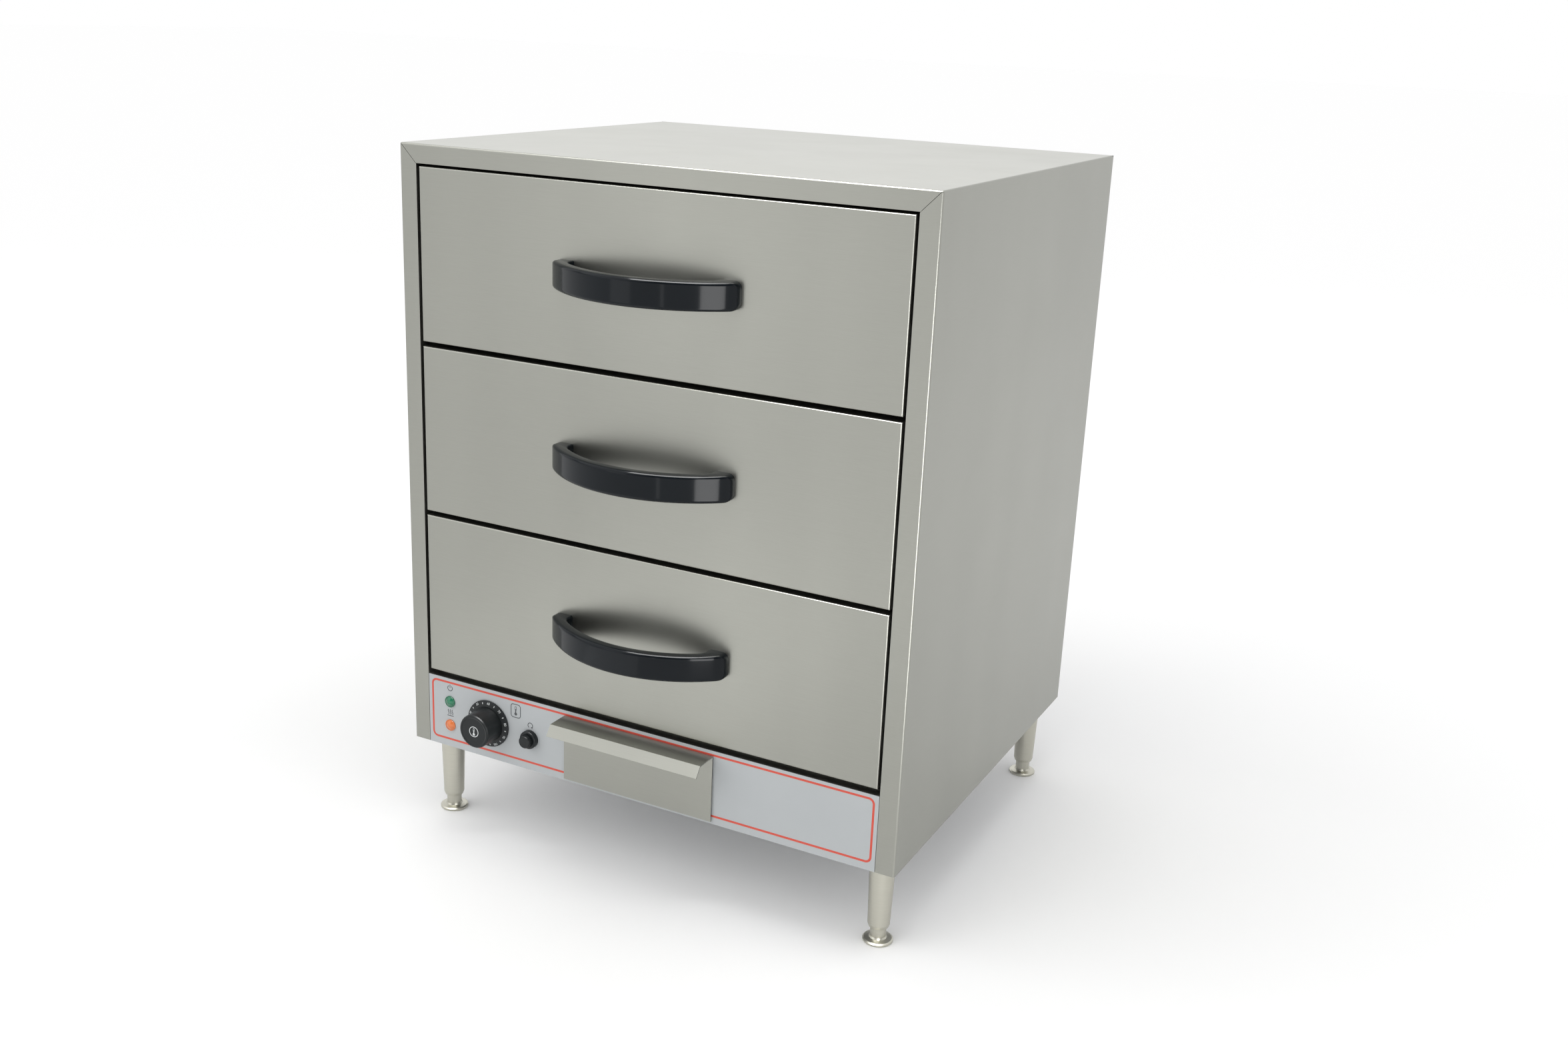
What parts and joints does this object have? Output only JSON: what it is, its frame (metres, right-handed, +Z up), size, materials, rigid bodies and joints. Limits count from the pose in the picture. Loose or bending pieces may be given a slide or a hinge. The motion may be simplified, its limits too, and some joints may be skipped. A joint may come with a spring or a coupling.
{
  "type": "drawer warmer",
  "caption": "Free-standing heated cabinet for keeping food warm, with bow-handled drawers on telescopic slides, a control fascia and a pull-out tray, on adjustable legs.",
  "frame": {"origin": "on the floor under the middle of the whole warmer, handles and cable gland included", "axes": "+Z up, the drawers face -Y and +X is to the right as seen from the front"},
  "size_m": [0.575, 0.5734, 0.736],
  "materials": {
    "satin_steel": "satin brushed",
    "liner_steel": "mill",
    "zinc_steel": "zinc plated",
    "leg_steel": "satin nickel",
    "black_gloss": "gloss",
    "black_plastic": "satin",
    "overlay_film": "satin film",
    "green_lens": "translucent",
    "orange_lens": "translucent",
    "mineral_wool": "fibrous",
    "copper": "drawn tube",
    "element_sheath": "heat darkened"
  },
  "bodies": {
    "cabinet": {"outer_wrap": "satin_steel", "base_pan": "zinc_steel", "leg_plates": "zinc_steel", "back_panel": "zinc_steel", "back_panel_screws": "zinc_steel", "liner_left": "liner_steel", "liner_right": "liner_steel", "liner_top": "liner_steel", "liner_back": "liner_steel", "cavity_floor": "liner_steel", "insulation_boards": "mineral_wool", "slide_outer_members": "zinc_steel", "fascia_panel": "satin_steel", "fascia_overlay": "overlay_film", "power_lamp": "green_lens", "heat_lamp": "orange_lens", "thermostat_body": "black_plastic", "limit_thermostat_body": "black_plastic", "reset_collar": "black_plastic", "sensor_bulbs": "copper", "bulb_clips": "zinc_steel", "heating_element": "element_sheath", "element_supports": "liner_steel", "terminal_block": "black_plastic", "cable_gland": "black_plastic", "gland_nut": "black_plastic", "tray_rails": "liner_steel", "leg_front_left": "leg_steel", "leg_back_left": "leg_steel", "leg_front_right": "leg_steel", "leg_back_right": "leg_steel"},
    "drawer_top": {"drawer_front_top": "satin_steel", "drawer_box_top": "liner_steel", "handle_top": "black_gloss", "handle_screws_top": "zinc_steel", "slide_inner_top": "zinc_steel"},
    "slide_mid_top": {"slide_mid_top": "zinc_steel"},
    "drawer_middle": {"drawer_front_middle": "satin_steel", "drawer_box_middle": "liner_steel", "handle_middle": "black_gloss", "handle_screws_middle": "zinc_steel", "slide_inner_middle": "zinc_steel"},
    "slide_mid_middle": {"slide_mid_middle": "zinc_steel"},
    "drawer_bottom": {"drawer_front_bottom": "satin_steel", "drawer_box_bottom": "liner_steel", "handle_bottom": "black_gloss", "handle_screws_bottom": "zinc_steel", "slide_inner_bottom": "zinc_steel"},
    "slide_mid_bottom": {"slide_mid_bottom": "zinc_steel"},
    "tray": {"tray_front": "satin_steel", "tray_pan": "satin_steel"},
    "thermostat_knob": {"thermostat_knob": "black_plastic", "thermostat_shaft": "zinc_steel"},
    "reset_button": {"reset_button": "black_plastic"},
    "foot_front_left": {"foot_front_left": "leg_steel"},
    "foot_back_left": {"foot_back_left": "leg_steel"},
    "foot_front_right": {"foot_front_right": "leg_steel"},
    "foot_back_right": {"foot_back_right": "leg_steel"}
  },
  "joints": [
    {"name": "drawer_top_slide", "type": "slide", "parent": "cabinet", "child": "drawer_top", "axis": [0, -1, 0], "range_m": [0, 0.4]},
    {"name": "slide_mid_top_slide", "type": "slide", "parent": "cabinet", "child": "slide_mid_top", "axis": [0, -1, 0], "range_m": [0, 0.2]},
    {"name": "drawer_middle_slide", "type": "slide", "parent": "cabinet", "child": "drawer_middle", "axis": [0, -1, 0], "range_m": [0, 0.4]},
    {"name": "slide_mid_middle_slide", "type": "slide", "parent": "cabinet", "child": "slide_mid_middle", "axis": [0, -1, 0], "range_m": [0, 0.2]},
    {"name": "drawer_bottom_slide", "type": "slide", "parent": "cabinet", "child": "drawer_bottom", "axis": [0, -1, 0], "range_m": [0, 0.4]},
    {"name": "slide_mid_bottom_slide", "type": "slide", "parent": "cabinet", "child": "slide_mid_bottom", "axis": [0, -1, 0], "range_m": [0, 0.2]},
    {"name": "tray_slide", "type": "slide", "parent": "cabinet", "child": "tray", "axis": [0, -1, 0], "range_m": [0, 0.3]},
    {"name": "thermostat_turn", "type": "hinge", "parent": "cabinet", "child": "thermostat_knob", "pos_m": [-0.187, -0.23525, 0.134], "axis": [0, 1, 0], "range_deg": [0, 270]},
    {"name": "reset_press", "type": "slide", "parent": "cabinet", "child": "reset_button", "axis": [0, 1, 0], "range_m": [0, 0.003], "stiffness_N_per_m": 400, "springref_m": -0.002},
    {"name": "foot_front_left_turn", "type": "hinge", "parent": "cabinet", "child": "foot_front_left", "pos_m": [-0.262, -0.20225, 0], "axis": [0, 0, 1], "continuous": true},
    {"name": "foot_back_left_turn", "type": "hinge", "parent": "cabinet", "child": "foot_back_left", "pos_m": [-0.262, 0.23175, 0], "axis": [0, 0, 1], "continuous": true},
    {"name": "foot_front_right_turn", "type": "hinge", "parent": "cabinet", "child": "foot_front_right", "pos_m": [0.262, -0.20225, 0], "axis": [0, 0, 1], "continuous": true},
    {"name": "foot_back_right_turn", "type": "hinge", "parent": "cabinet", "child": "foot_back_right", "pos_m": [0.262, 0.23175, 0], "axis": [0, 0, 1], "continuous": true}
  ],
  "couplings": [
    {"joint": "slide_mid_top_slide", "follows": "drawer_top_slide", "ratio": 0.5},
    {"joint": "slide_mid_middle_slide", "follows": "drawer_middle_slide", "ratio": 0.5},
    {"joint": "slide_mid_bottom_slide", "follows": "drawer_bottom_slide", "ratio": 0.5}
  ]
}
